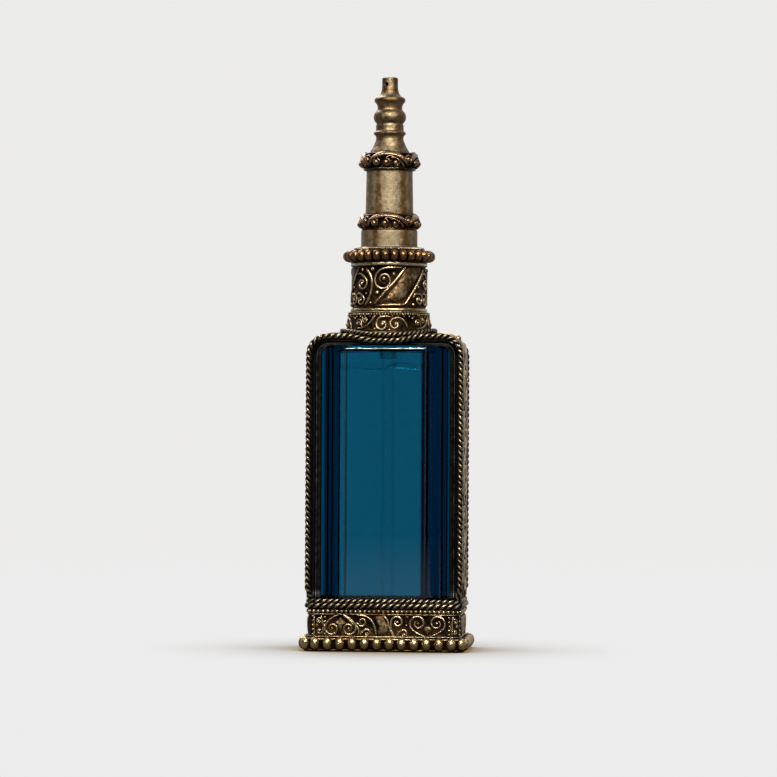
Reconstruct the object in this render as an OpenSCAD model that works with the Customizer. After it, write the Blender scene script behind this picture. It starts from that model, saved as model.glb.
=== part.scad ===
// Perfume atomiser: a bevelled glass flask in an embossed metal casing, with a turned spire spray head.
// Millimetres, +Z up, the front faces -Y. The origin is the centre of the base, on the table.

/* [Casing] */
// Half width of the casing, over the strap
case_hw = 18.8; // [18:0.1:20]
// Half depth of the strap
case_hd = 10.6; // [10:0.1:12]
// Thickness of the embossed sheet
sheet = 0.8; // [0.6:0.1:0.9]
// Height of the shoulder at the middle of its vault
shoulder_z = 77.3; // [76:0.1:78]
// Radius of the shoulder corner seen from the front
shoulder_r = 5; // [4:0.1:6]
// Radius of the front to back vault of the shoulder
vault_r = 55; // [50:1:70]

/* [Base] */
// Half width of the base plate
plate_hw = 20.3; // [20:0.1:20.6]
// Half depth of the base plate
plate_hd = 12.7; // [12.4:0.1:13]
// Half width of the wall that carries the beads
bead_hw = 19.7; // [19.5:0.1:19.9]
// Half depth of the wall that carries the beads
bead_hd = 12.1; // [11.9:0.1:12.3]
// Thickness of the base plate
plate_t = 0.7; // [0.5:0.1:1]
// Radius of the beads on the base
bead_r = 1.2; // [1:0.05:1.25]
// Number of beads on each long side
beads_long = 12; // [8:1:12]
// Number of beads on each short side
beads_short = 7; // [4:1:7]
// Lowest and highest edge of the embossed base band
band_z = [3.5, 9.2]; // [0:0.1:12]

/* [Ropes] */
// Radius of the twisted edge rope
rope_r = 0.65; // [0.5:0.05:0.7]
// How far the edge rope dips under the neck
rope_dip = 1.05; // [0.8:0.05:1.2]

/* [Glass] */
// Half width of the glass
glass_hw = 17.5; // [16.5:0.1:17.5]
// Half depth of the glass
glass_hd = 9.7; // [9:0.1:10]
// Half width of the flat front and back panels
panel_hw = 10; // [8:0.1:11]
// Angle of the bevels at the sides of the panels
bevel_deg = 28; // [24:1:32]
// Top of the glass body, under the neck
glass_top = 75; // [74:0.1:75.3]
// Top of the glass neck
neck_top = 92.4; // [91:0.1:92.5]
// Diameter of the neck
neck_d = 13; // [12.4:0.1:13.2]
// Diameter of the neck bore
neck_bore_d = 9; // [8.6:0.1:9.2]

/* [Head] */
// Radius of the beaded flange ring, without the beads
flange_r = 10; // [9.5:0.1:10.2]
// Number of beads on the flange
flange_beads = 27; // [20:1:27]
// Diameter of the tube at its top
tube_top_d = 11.3; // [11.1:0.05:11.4]
// Diameter of the tube where it slides
tube_d = 11.7; // [11.5:0.05:11.7]
// Top of the spire
total_h = 140; // [139:0.5:142]
// Diameter of the flat-cut tip
tip_d = 3.9; // [3.7:0.1:4.2]
// Diameter of the spray hole
spray_hole_d = 1; // [0.6:0.1:1]
// Direction of the spray hole, from the front towards -X
spray_hole_deg = 21; // [0:1:90]

/* [Pump] */
// Diameter of the barrel bore
barrel_d = 6.4; // [6.4:0.1:6.6]
// Diameter of the stem
stem_d = 3.9; // [3.7:0.1:3.9]
// Diameter of the inlet ball
ball_d = 2.4; // [2.2:0.1:2.5]
// Height of the end of the dip tube
dip_end_z = 10.9; // [10.5:0.1:14]

/* [Hidden] */
$fn = 96;
ROPE_SIDES = 8;
base_top = 13.4;
cup_hw = case_hw - 0.85;
cup_hd = case_hd;
cup_wall = 0.4;
cup_r = 1.6;
base_rope_r = 0.7;
vault_axis_z = shoulder_z - vault_r;
rope_y = case_hd + rope_r + 0.05;
rope_hw = case_hw - 0.3;
rope_corner_r = 4.5;
rope_top = vault_axis_z + sqrt(vault_r * vault_r - case_hd * case_hd) + 0.1;
neck_foot_r = 11.35;
neck_rope_r = 0.6;
collar_z = [82.4, 94.45];
cavity = [9.8, 4.7];
cavity_r = 1.2;
cavity_z = [6, 73];
collar_d = 18.5;
flange_z = [94.7, 97.5];
sleeve_z = [97.5, 102.4];
lower_ring_z = [102.4, 106.3];
upper_ring_z = [117.1, 121.4];
tube_end_z = 101.6;
seat_z = 77.5;
pump_foot_z = 71;
stem_foot_z = 86.7;

// A rectangle of half sizes hw and hd with corners of radius r.
module rounded(hw, hd, r) {
    square([2 * (hw - r), 2 * hd], center = true);
    square([2 * hw, 2 * (hd - r)], center = true);
    for (x = [-1, 1], y = [-1, 1]) translate([x * (hw - r), y * (hd - r)]) circle(r);
}

// A wall between two rounded rectangles, from z = lo to z = hi.
module rounded_wall(hw, hd, r, wall, lo, hi) {
    translate([0, 0, lo]) linear_extrude(hi - lo) difference() {
        rounded(hw, hd, r);
        rounded(hw - wall, hd - wall, max(r - wall, 0.3));
    }
}

// A ring from z = lo to z = hi.
module ring(d_out, d_in, lo, hi) {
    translate([0, 0, lo]) difference() {
        cylinder(h = hi - lo, d = d_out);
        translate([0, 0, -1]) cylinder(h = hi - lo + 2, d = d_in);
    }
}

// A rod of radius r along a closed rounded rectangle in the plane z.
module rounded_loop(hw, hd, bend, r, z) {
    translate([0, 0, z]) {
        for (s = [-1, 1]) {
            translate([-(hw - bend), s * hd, 0]) rotate([0, 90, 0]) cylinder(h = 2 * (hw - bend), r = r);
            translate([s * hw, -(hd - bend), 0]) rotate([-90, 0, 0]) cylinder(h = 2 * (hd - bend), r = r);
        }
        for (q = [0:3]) {
            sx = (q == 0 || q == 3) ? 1 : -1;
            sy = q < 2 ? 1 : -1;
            translate([sx * (hw - bend), sy * (hd - bend), 0]) rotate([0, 0, 90 * q])
                rotate_extrude(angle = 90) translate([bend, 0]) circle(r);
        }
    }
}

// The unit vector along v.
function unit(v) = v / norm(v);

// Points of a tube of radius r round a path, one ring of sides points per path point.
function tube_points(path, r, sides, closed) = [
    for (i = [0:len(path) - 1])
        let (n = len(path),
             a = path[closed ? (i + n - 1) % n : max(i - 1, 0)],
             b = path[closed ? (i + 1) % n : min(i + 1, n - 1)],
             t = unit(b - a),
             ref = abs(t[1]) < 0.9 ? [0, 1, 0] : [1, 0, 0],
             u = unit(cross(ref, t)),
             v = cross(t, u))
        for (k = [0:sides - 1])
            path[i] + r * (cos(360 * k / sides) * u + sin(360 * k / sides) * v)
];

// Faces of that tube, with end caps when it is open.
function tube_faces(n, sides, closed) = concat(
    [for (i = [0:(closed ? n - 1 : n - 2)], k = [0:sides - 1])
        let (j = (i + 1) % n, m = (k + 1) % sides)
        each [[i * sides + k, j * sides + m, i * sides + m],
              [i * sides + k, j * sides + k, j * sides + m]]],
    closed ? [] : [[for (k = [0:sides - 1]) k],
                   [for (k = [0:sides - 1]) (n - 1) * sides + sides - 1 - k]]
);

module swept_tube(path, r, sides = ROPE_SIDES, closed = false) {
    polyhedron(tube_points(path, r, sides, closed), tube_faces(len(path), sides, closed), convexity = 6);
}

// Front outline of the casing, from the base to the shoulder: half width hw, top at height top.
module arch(hw, top, r, bottom) {
    translate([-hw, bottom]) square([2 * hw, top - r - bottom]);
    translate([-(hw - r), bottom]) square([2 * (hw - r), top - bottom]);
    for (s = [-1, 1]) translate([s * (hw - r), top - r]) circle(r);
}

// An outline in the XZ plane, extruded from y = -half_depth to y = half_depth.
module along_y(half_depth) {
    translate([0, half_depth, 0]) rotate([90, 0, 0]) linear_extrude(2 * half_depth) children();
}

// The vault of the shoulder, offset inwards by inset.
module vault(inset) {
    translate([-30, 0, vault_axis_z]) rotate([0, 90, 0]) cylinder(h = 60, r = vault_r - inset, $fn = 180);
}

module base_plate() {
    color("darkgoldenrod") linear_extrude(plate_t) rounded(plate_hw, plate_hd, 3.3);
}

// A bead that points along +X, with a short shank that roots it in the wall behind.
module bead(shank) {
    rotate([0, 90, 0]) rotate_extrude() {
        translate([0, -shank]) square([bead_r, shank]);
        intersection() {
            circle(bead_r);
            square(2 * bead_r);
        }
    }
}

module base_bead_ring() {
    hw = bead_hw;
    hd = bead_hd;
    bend = 2.7;
    reach = bend * cos(45) - bend;
    z = plate_t + bead_r + 0.04;
    color("darkgoldenrod") {
        rounded_wall(hw, hd, bend, 1.2, plate_t, band_z[0] - 0.2);
        for (s = [-1, 1], i = [0:beads_long - 1])
            translate([(hw - 3.2) * (2 * i / (beads_long - 1) - 1), s * hd, z]) rotate([0, 0, 90 * s]) bead(0.4);
        for (s = [-1, 1], i = [0:beads_short - 1])
            translate([s * hw, (hd - 3.1) * (2 * i / (beads_short - 1) - 1), z])
                rotate([0, 0, 90 - 90 * s]) bead(0.4);
        for (x = [-1, 1], y = [-1, 1])
            translate([x * (hw + reach), y * (hd + reach), z]) rotate([0, 0, atan2(y, x)]) bead(0.6);
    }
}

module base_cup() {
    color("dimgray") {
        rounded_wall(cup_hw, cup_hd, cup_r, cup_wall, plate_t, base_top);
    }
}

module scroll_band() {
    color("tan") rounded_wall(case_hw, cup_hd + 0.85, cup_r + 0.85, 0.8, band_z[0], band_z[1]);
}

module grain_wire() {
    color("tan") rounded_loop(cup_hw + 0.55, cup_hd + 0.55, cup_r + 0.55, 0.5, band_z[1] + 0.55);
}

module base_rope_lower() {
    offset = base_rope_r + 0.03;
    color("tan") rounded_loop(cup_hw + offset, cup_hd + offset, cup_r + offset, base_rope_r, 11.1);
}

module base_rope_upper() {
    offset = rope_r + 0.03;
    color("tan") rounded_loop(cup_hw + offset, cup_hd + offset, cup_r + offset, rope_r, 12.5);
}

// Section of the glass from above: flat panels, bevels and side faces.
module glass_section() {
    side = glass_hd - (glass_hw - panel_hw) * tan(bevel_deg);
    polygon([for (s = [[1, 1], [-1, 1], [-1, -1], [1, -1]])
        each (s[0] * s[1] > 0
            ? [[s[0] * glass_hw, s[1] * side], [s[0] * panel_hw, s[1] * glass_hd]]
            : [[s[0] * panel_hw, s[1] * glass_hd], [s[0] * glass_hw, s[1] * side]])]);
}

// Side outline of the glass: the panels stop below the top and slope back to the shoulder.
module glass_side() {
    lo = plate_t + 0.1;
    polygon([for (s = [1, -1])
        let (pts = [[s * glass_hd, lo], [s * glass_hd, 72.3], [s * (glass_hd - 1.3), 73.6],
                    [s * (glass_hd - 2.6), 74.1], [s * (glass_hd - 4.4), glass_top]])
        each (s > 0 ? pts : [for (i = [len(pts) - 1:-1:0]) pts[i]])]);
}

// Thread of the neck: three arcs along a helix, broken at the seams of the mould.
module neck_thread() {
    pitch = 2;
    r = neck_d / 2 + 0.05;
    tilt = atan(pitch / (2 * PI * r));
    arc = 140;
    for (i = [0:2])
        translate([0, 0, 87 + pitch * (i + 0.5) / 2]) rotate([0, 0, 180 * i + 90]) rotate([tilt, 0, 0])
            rotate([0, 0, -arc / 2]) rotate_extrude(angle = arc) translate([r, 0]) circle(0.5);
}

module glass_bottle() {
    color("steelblue") difference() {
        union() {
            intersection() {
                translate([0, 0, plate_t + 0.1]) linear_extrude(glass_top - plate_t - 0.1) glass_section();
                along_y(glass_hd + 1) arch(glass_hw, glass_top, 3, plate_t + 0.1);
                translate([-glass_hw - 1, 0, 0]) rotate([90, 0, 90])
                    linear_extrude(2 * glass_hw + 2) glass_side();
            }
            translate([0, 0, glass_top - 1]) cylinder(h = neck_top - glass_top + 1, d = neck_d);
            neck_thread();
        }
        intersection() {
            translate([0, 0, cavity_z[0]]) linear_extrude(cavity_z[1] - cavity_z[0])
                rounded(cavity[0], cavity[1], cavity_r);
            along_y(10) arch(cavity[0], cavity_z[1], 3, cavity_z[0]);
        }
        translate([0, 0, cavity_z[1] - 2]) cylinder(h = 30, d = neck_bore_d);
    }
}

module side_strap() {
    color("gray") difference() {
        intersection() {
            along_y(case_hd) arch(case_hw, shoulder_z, shoulder_r, base_top);
            vault(0);
        }
        intersection() {
            along_y(case_hd + 1)
                arch(case_hw - sheet, shoulder_z - sheet, shoulder_r - sheet, base_top - 1);
            vault(sheet);
        }
        translate([0, 0, 70]) cylinder(h = 10, d = 15);
    }
}

// The plain frame inside the strap, on the side that s points to: a wall and a lip against the glass.
module bezel(s) {
    wall_hw = case_hw - sheet - 0.02;
    wall_top = 75.3;
    color("dimgray") translate([0, s * 9.2, 0]) {
        along_y(1.35) difference() {
            arch(wall_hw, wall_top, 3.6, base_top);
            arch(wall_hw - 0.35, wall_top - 0.35, 3.25, base_top - 1);
        }
        translate([0, -s * 1.15, 0]) along_y(0.2) difference() {
            arch(wall_hw - 0.1, wall_top - 0.1, 3.5, base_top);
            arch(15.65, 74.15, 2.4, base_top - 1);
        }
    }
}

module bezel_front() bezel(-1);
module bezel_back() bezel(1);

// Height of the edge rope over the shoulder, dipping under the neck.
function edge_rope_z(x) =
    let (t = min(max((9 - abs(x)) / 6, 0), 1))
    rope_top - rope_dip * (1 - cos(180 * t)) / 2;

function edge_rope_path(y) =
    let (bend = [rope_hw - rope_corner_r, rope_top - rope_corner_r])
    concat(
        [[-rope_hw, y, base_top + 0.05], [-rope_hw, y, 42]],
        [for (a = [180:-11.25:90])
            [-bend[0] + rope_corner_r * cos(a), y, bend[1] + rope_corner_r * sin(a)]],
        [for (x = [-9:1:9]) [x, y, edge_rope_z(x)]],
        [for (a = [90:-11.25:0])
            [bend[0] + rope_corner_r * cos(a), y, bend[1] + rope_corner_r * sin(a)]],
        [[rope_hw, y, 42], [rope_hw, y, base_top + 0.05]]
    );

module edge_rope_front() color("tan") swept_tube(edge_rope_path(-rope_y), rope_r);
module edge_rope_back() color("tan") swept_tube(edge_rope_path(rope_y), rope_r);

// Twisted wire round the foot of the neck, lying on the vault.
module neck_rope() {
    path = [for (a = [0:7.5:352.5])
        let (y = neck_foot_r * sin(a))
        [neck_foot_r * cos(a), y, vault_axis_z + sqrt(vault_r * vault_r - y * y) + neck_rope_r + 0.05]];
    color("tan") swept_tube(path, neck_rope_r, closed = true);
}

module neck_base_ring() {
    color("tan") difference() {
        rotate_extrude() polygon([[9.9, 75], [10.65, 75], [10.65, 78], [10.3, collar_z[0]],
                                  [7.6, collar_z[0]], [7.6, collar_z[0] - 0.6], [9.5, collar_z[0] - 0.6]]);
        vault(0);
    }
}

module neck_collar() {
    r = collar_d / 2;
    color("tan") rotate_extrude() polygon([
        [r - 0.55, collar_z[0]], [r + 0.15, collar_z[0]], [r + 0.15, collar_z[0] + 0.8],
        [r, collar_z[0] + 1.1], [r, collar_z[1] - 1.1], [r + 0.15, collar_z[1] - 0.8],
        [r + 0.15, collar_z[1]], [r - 0.55, collar_z[1]]]);
}

module screw_cap() {
    color("whitesmoke") rotate_extrude() polygon([
        [7.35, 84.6], [8.35, 84.6], [8.35, flange_z[0]], [5, flange_z[0]], [5, 93.95], [7.35, 93.95]]);
}

module beaded_flange() {
    mid = (flange_z[0] + flange_z[1]) / 2;
    color("peru") difference() {
        union() {
            translate([0, 0, flange_z[0]]) cylinder(h = flange_z[1] - flange_z[0], r = flange_r - 0.5);
            rotate_extrude() translate([flange_r - 0.2, mid]) circle(1.15);
            for (i = [0:flange_beads - 1]) rotate([0, 0, 360 * i / flange_beads])
                translate([flange_r, 0, mid]) sphere(1.35);
        }
        translate([0, 0, flange_z[0] - 1]) cylinder(h = 5, d = 12.3);
    }
}

module milled_wire() {
    teeth = 60;
    color("tan") difference() {
        ring(17.3, 14.04, flange_z[1], flange_z[1] + 0.75);
        for (i = [0:teeth - 1]) rotate([0, 0, 360 * i / teeth])
            translate([17.3 / 2, 0, flange_z[1]]) cylinder(h = 2, d = 0.45, center = true, $fn = 13);
    }
}

module sleeve() {
    color("tan") rotate_extrude() polygon([
        [6.15, sleeve_z[0]], [7, sleeve_z[0]], [7, sleeve_z[0] + 0.8], [6.92, sleeve_z[0] + 1],
        [6.92, sleeve_z[1]], [6.15, sleeve_z[1]]]);
}

// A rounded band of outer radius r round a bore.
module scroll_ring(r, bore_d, z) {
    round_r = 1.3;
    rotate_extrude() difference() {
        union() {
            translate([bore_d / 2, z[0]]) square([r - round_r - bore_d / 2, z[1] - z[0]]);
            translate([bore_d / 2, z[0] + round_r]) square([r - bore_d / 2, z[1] - z[0] - 2 * round_r]);
            for (h = [z[0] + round_r, z[1] - round_r]) translate([r - round_r, h]) circle(round_r);
        }
        translate([bore_d / 2 - 2, z[0] - 1]) square([2, z[1] - z[0] + 2]);
    }
}

module lower_scroll_ring() color("sienna") scroll_ring(7.7, 12, lower_ring_z);
module upper_scroll_ring() color("sienna") scroll_ring(7.4, tube_top_d + 0.06, upper_ring_z);

module spray_tube() {
    color("tan") difference() {
        union() {
            translate([0, 0, tube_end_z]) cylinder(h = lower_ring_z[1] - tube_end_z, d = tube_d);
            translate([0, 0, lower_ring_z[1]])
                cylinder(h = upper_ring_z[0] - lower_ring_z[1], d1 = tube_d, d2 = tube_top_d);
            translate([0, 0, upper_ring_z[0]]) cylinder(h = 3.9, d = tube_top_d);
        }
        translate([0, 0, tube_end_z - 1]) cylinder(h = 30, d = 10.3);
    }
}

// Half outline of the turned spire, from its base to the flat-cut tip.
function finial_profile() = concat(
    [[0, 117.2], [5, 117.2], [5, 121.4], [4.4, 122.5], [3.7, 124], [3.38, 124.7], [3.38, 125.4]],
    [for (a = [-60:30:60]) [3.4 + 0.55 * cos(a), 126.3 + 0.5 * sin(a)]],
    [[3.38, 127.4], [3.4, 128.3]],
    [for (a = [-50:20:50]) [1.95 + 2.03 * cos(a), 130.3 + 2 * sin(a)]],
    [[3.03, 132.4], [3.03, 132.9], [3.3, 133.6]],
    [for (a = [-60:30:60]) [3.22 + 0.6 * cos(a), 134.45 + 0.7 * sin(a)]],
    [for (a = [0:15:90]) [tip_d / 2 + 1.4 * (1 - sin(a)), 137.9 - 2.7 * cos(a)]],
    [[tip_d / 2, total_h], [0, total_h]]
);

module finial() {
    color("burlywood") difference() {
        rotate_extrude() polygon(finial_profile());
        translate([0, 0, 110]) cylinder(h = 28.8, d = 2);
        translate([0, 0, 138.3]) rotate([90, 0, -spray_hole_deg]) cylinder(h = 5, d = spray_hole_d);
    }
}

module stem_adapter() {
    color("whitesmoke") difference() {
        union() {
            translate([0, 0, 104]) cylinder(h = 13.1, d = 6.6);
            translate([0, 0, 113.6]) cylinder(h = 3.5, d = 10.2);
        }
        translate([0, 0, 103]) cylinder(h = 7.55, d = stem_d + 0.04);
        translate([0, 0, 103]) cylinder(h = 20, d = 1.5);
    }
}

module stem() {
    color("white") difference() {
        union() {
            translate([0, 0, 90]) cylinder(h = 20.5, d = stem_d);
            translate([0, 0, stem_foot_z]) cylinder(h = 4, d = 3);
            translate([0, 0, stem_foot_z]) cylinder(h = 0.5, d = 4.8);
        }
        translate([0, 0, 88]) cylinder(h = 30, d = 1.5);
        translate([0, 0, 88.1]) rotate([0, 90, 0]) cylinder(h = 4, d = 0.7, center = true);
    }
}

module piston() {
    color("gainsboro") rotate_extrude() polygon([
        [1.52, 88.6], [2.5, 88.6], [2.5, 87.6], [3.16, 87.6], [3.16, 89.95], [1.52, 89.95]]);
}

// Compression spring between the spring seat and the foot of the stem.
module return_spring() {
    wire_r = 0.25;
    turns = 6;
    steps = 96;
    lo = seat_z + 0.6 + wire_r + 0.03;
    hi = stem_foot_z - wire_r - 0.03;
    path = [for (i = [0:steps])
        let (a = 360 * turns * i / steps)
        [2.05 * cos(a), 2.05 * sin(a), lo + (hi - lo) * i / steps]];
    color("silver") swept_tube(path, wire_r, 6);
}

module spring_seat() color("gainsboro") ring(6.3, 1.8, seat_z, seat_z + 0.6);

module inlet_ball() color("silver") translate([0, 0, pump_foot_z + 4.72]) sphere(d = ball_d);

module pump_housing() {
    foot = pump_foot_z;
    color("ivory") rotate_extrude() polygon([
        [1.52, foot], [2.3, foot], [2.3, foot + 2.6], [4, foot + 5], [4, 93.02], [6.3, 93.02],
        [6.3, 93.5], [barrel_d / 2, 93.5], [barrel_d / 2, seat_z], [1.6, seat_z], [1.6, foot + 4.6],
        [0.8, foot + 3.8], [0.8, foot + 2.5], [1.52, foot + 2.5]]);
}

module turret() {
    color("ivory") rotate_extrude() polygon([
        [2.05, 90.05], [3.15, 90.05], [3.15, 93.5], [6.3, 93.5], [6.3, 93.9], [4.8, 93.9],
        [4.8, 97.2], [2.05, 97.2]]);
}

module neck_gasket() color("dimgray") ring(12.6, 8.1, neck_top + 0.02, 93);

module dip_tube() color("lightcyan") ring(3, 1.9, dip_end_z, pump_foot_z + 2.45);

base_plate();
base_bead_ring();
base_cup();
scroll_band();
grain_wire();
base_rope_lower();
base_rope_upper();
glass_bottle();
side_strap();
bezel_front();
bezel_back();
edge_rope_front();
edge_rope_back();
neck_rope();
neck_base_ring();
neck_collar();
screw_cap();
beaded_flange();
milled_wire();
sleeve();
lower_scroll_ring();
spray_tube();
upper_scroll_ring();
finial();
stem_adapter();
stem();
piston();
return_spring();
spring_seat();
inlet_ball();
pump_housing();
turret();
neck_gasket();
dip_tube();
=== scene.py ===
"""Perfume atomiser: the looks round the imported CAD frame.

Lengths are millimetres until a mesh is made, and positions start from the CAD nodes' boxes.
"""

import math
import random

import bmesh
import bpy
import numpy as np
from mathutils import Matrix, Vector


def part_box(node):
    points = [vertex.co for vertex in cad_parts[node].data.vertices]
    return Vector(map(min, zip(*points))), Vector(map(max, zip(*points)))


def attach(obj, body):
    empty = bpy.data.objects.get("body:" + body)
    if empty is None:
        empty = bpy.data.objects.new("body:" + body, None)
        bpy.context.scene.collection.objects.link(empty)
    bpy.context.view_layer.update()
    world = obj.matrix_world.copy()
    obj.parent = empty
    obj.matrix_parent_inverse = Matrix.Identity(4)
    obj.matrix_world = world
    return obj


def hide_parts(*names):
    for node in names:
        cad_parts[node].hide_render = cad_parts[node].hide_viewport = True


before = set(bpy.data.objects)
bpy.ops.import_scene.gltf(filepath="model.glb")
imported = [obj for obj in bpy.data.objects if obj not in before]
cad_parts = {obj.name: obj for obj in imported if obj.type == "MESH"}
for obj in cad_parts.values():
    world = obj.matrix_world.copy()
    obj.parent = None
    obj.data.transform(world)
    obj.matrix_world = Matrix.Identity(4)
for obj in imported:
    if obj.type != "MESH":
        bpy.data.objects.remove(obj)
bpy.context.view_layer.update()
MM = 0.001
TAU = 2 * math.pi
random.seed(7)


def box(node):
    """Lowest and highest corner of a CAD node, in millimetres."""
    lo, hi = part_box(node)
    return np.array(lo) / MM, np.array(hi) / MM


def placed(name, data):
    """A new object in the scene."""
    thing = bpy.data.objects.new(name, data)
    bpy.context.scene.collection.objects.link(thing)
    return thing


# ---- mesh tools ----


class Shape:
    """Points, faces and heights gathered for one mesh. Height is 0 in a recess and 1 on a crest."""

    def __init__(self):
        self.points, self.faces, self.heights = [], [], []
        self.count = 0

    def add(self, points, faces, heights):
        self.points.append(np.asarray(points, float))
        self.faces += [tuple(i + self.count for i in f) for f in faces]
        self.heights.append(np.broadcast_to(heights, (len(points),)))
        self.count += len(points)

    def skin(self, rings, loop=False, heights=0.5):
        """Joins closed rings of points. loop joins the last ring to the first; without it both are capped."""
        rings = np.asarray(rings, float)
        n, m = rings.shape[:2]
        faces = []
        for i in range(n if loop else n - 1):
            a, b = i * m, (i + 1) % n * m
            faces += [(a + k, a + (k + 1) % m, b + (k + 1) % m, b + k) for k in range(m)]
        if not loop:
            faces += [tuple(range(m))[::-1], tuple((n - 1) * m + k for k in range(m))]
        self.add(rings.reshape(-1, 3), faces, np.broadcast_to(heights, (n, m)).reshape(-1))

    def ball(self, centre, radii, axes, low=0.1, rows=9, columns=16):
        """A bead. radii are its half sizes along the three axes, and its crest is on the first axis."""
        th = math.pi * np.arange(1, rows)[:, None] / rows
        ph = TAU * np.arange(columns) / columns
        body = np.stack([np.cos(th) + 0 * ph, np.sin(th) * np.cos(ph), np.sin(th) * np.sin(ph)], axis=2)
        points = np.vstack([[[1, 0, 0]], body.reshape(-1, 3), [[-1, 0, 0]]])
        last = len(points) - 1
        around = [(k, (k + 1) % columns) for k in range(columns)]
        faces = [(0, 1 + k, 1 + q) for k, q in around]
        for a in range(1, last - columns, columns):
            b = a + columns
            faces += [(a + k, b + k, b + q, a + q) for k, q in around]
        faces += [(last - columns + k, last, last - columns + q) for k, q in around]
        heights = np.clip(low + (1 - low) * (points[:, 0] * 0.8 + 0.4), 0, 1)
        self.add(np.asarray(centre) + (points * np.asarray(radii)) @ np.asarray(axes, float), faces, heights)

    def make(self, name, material, slot, *replaces, body="flask"):
        """Turns the shape into a piece that rides on a body and stands for CAD nodes."""
        mesh = bpy.data.meshes.new(name)
        mesh.from_pydata((np.concatenate(self.points) * MM).tolist(), [], self.faces)
        layer = mesh.attributes.new("height", "FLOAT", "POINT")
        layer.data.foreach_set("value", np.concatenate(self.heights).astype(np.float32))
        b = bmesh.new()
        b.from_mesh(mesh)
        bmesh.ops.recalc_face_normals(b, faces=b.faces)
        bmesh.ops.delete(b, geom=[v for v in b.verts if not v.link_faces], context="VERTS")
        b.to_mesh(mesh)
        b.free()
        mesh.polygons.foreach_set("use_smooth", [True] * len(mesh.polygons))
        mesh.materials.append(material)
        piece = placed(name, mesh)
        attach(piece, body)
        if replaces:
            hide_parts(*replaces)
        return piece


def unit(v):
    return v / np.linalg.norm(v, axis=-1, keepdims=True)


def level(points, z):
    """Plane points set at the height z."""
    return np.column_stack([points, np.full(len(points), z)])


def circle(a, r=1.0):
    """Plane points at the angles a, in radians."""
    return np.column_stack([r * np.cos(a), r * np.sin(a)])


def facing(a):
    """Axes of a bead that faces the angle a, in radians, and stands upright."""
    return [(math.cos(a), math.sin(a), 0), (-math.sin(a), math.cos(a), 0), (0, 0, 1)]


def resample(path, step, closed=False):
    """Points spaced evenly along a polyline, about step apart, and its length."""
    path = np.asarray(path, float)
    if closed:
        path = np.vstack([path, path[:1]])
    run = np.concatenate([[0], np.cumsum(np.linalg.norm(np.diff(path, axis=0), axis=1))])
    s = np.linspace(0, run[-1], max(int(round(run[-1] / step)), 4) + 1)
    out = np.stack([np.interp(s, run, path[:, k]) for k in range(path.shape[1])], axis=1)
    return (out[:-1] if closed else out), run[-1]


def tangents(path, closed=False):
    if closed:
        return unit(np.roll(path, -1, axis=0) - np.roll(path, 1, axis=0))
    return unit(np.gradient(path, axis=0))


def curve(points, samples=6):
    """Catmull-Rom curve through the points."""
    p = np.asarray(points, float)
    p = np.vstack([2 * p[0] - p[1], p, 2 * p[-1] - p[-2]])
    t = np.linspace(0, 1, samples, endpoint=False)[:, None]
    out = []
    for a, b, c, d in zip(p, p[1:], p[2:], p[3:]):
        bend, twist = 2 * a - 5 * b + 4 * c - d, 3 * b - a - 3 * c + d
        out.append(0.5 * (2 * b + (c - a) * t + bend * t**2 + twist * t**3))
    return np.vstack(out + [p[-2:-1]])


def twisted_wire(node, path, radius, pitch, ref=(0, 0, 1), closed=False, sides=10, steps=14):
    """Two strands twisted round a path, in place of a node. ref is a direction that the path never takes."""
    path, length = resample(path, pitch / steps, closed)
    t = tangents(path, closed)
    side = unit(np.cross(np.asarray(ref, float), t))
    up = np.cross(t, side)
    turns = max(round(length / pitch), 1) if closed else length / pitch
    angle = -TAU * turns * np.arange(len(path)) / (len(path) if closed else len(path) - 1)
    orbit, strand = 0.47 * radius, 0.56 * radius
    phi = TAU * np.arange(sides)[:, None] / sides
    crest = np.clip(1.5 * np.cos(phi[:, 0]) - 0.5, 0, 1)
    shape = Shape()
    for a in (angle, angle + math.pi):
        a = a[:, None]
        out = np.cos(a) * side + np.sin(a) * up
        along = unit(t - np.cross(t, out) * (TAU * orbit / pitch))
        across = np.cross(along, out)
        section = strand * (np.cos(phi) * out[:, None] + np.sin(phi) * across[:, None])
        shape.skin((path + orbit * out)[:, None] + section, closed, crest)
    shape.make(node + "_twist", ROPE, "antique_metal", node)


def lathe(profile, steps=160, heights=0.6, teeth=0, depth=0.0):
    """Turns a closed outline of (radius, z) points round the Z axis, with cut teeth if asked."""
    r, z = np.asarray(profile, float).T
    a = TAU * np.arange(steps)[:, None] / steps
    cut = r > r.max() - 1.5 * depth - 1e-6
    r = r - depth * (0.5 - 0.5 * np.cos(teeth * a)) * cut
    shape = Shape()
    rings = np.stack([r * np.cos(a), r * np.sin(a), np.broadcast_to(z, r.shape)], axis=2)
    shape.skin(rings, True, heights)
    return shape


def arc(r, z, radius, start, end, steps, squash=1.0):
    """Part of a circle in the (radius, z) plane, in degrees."""
    a = np.radians(np.linspace(start, end, steps))
    return [(r + radius * math.cos(q), z + squash * radius * math.sin(q)) for q in a]


# ---- reliefs ----


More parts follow.
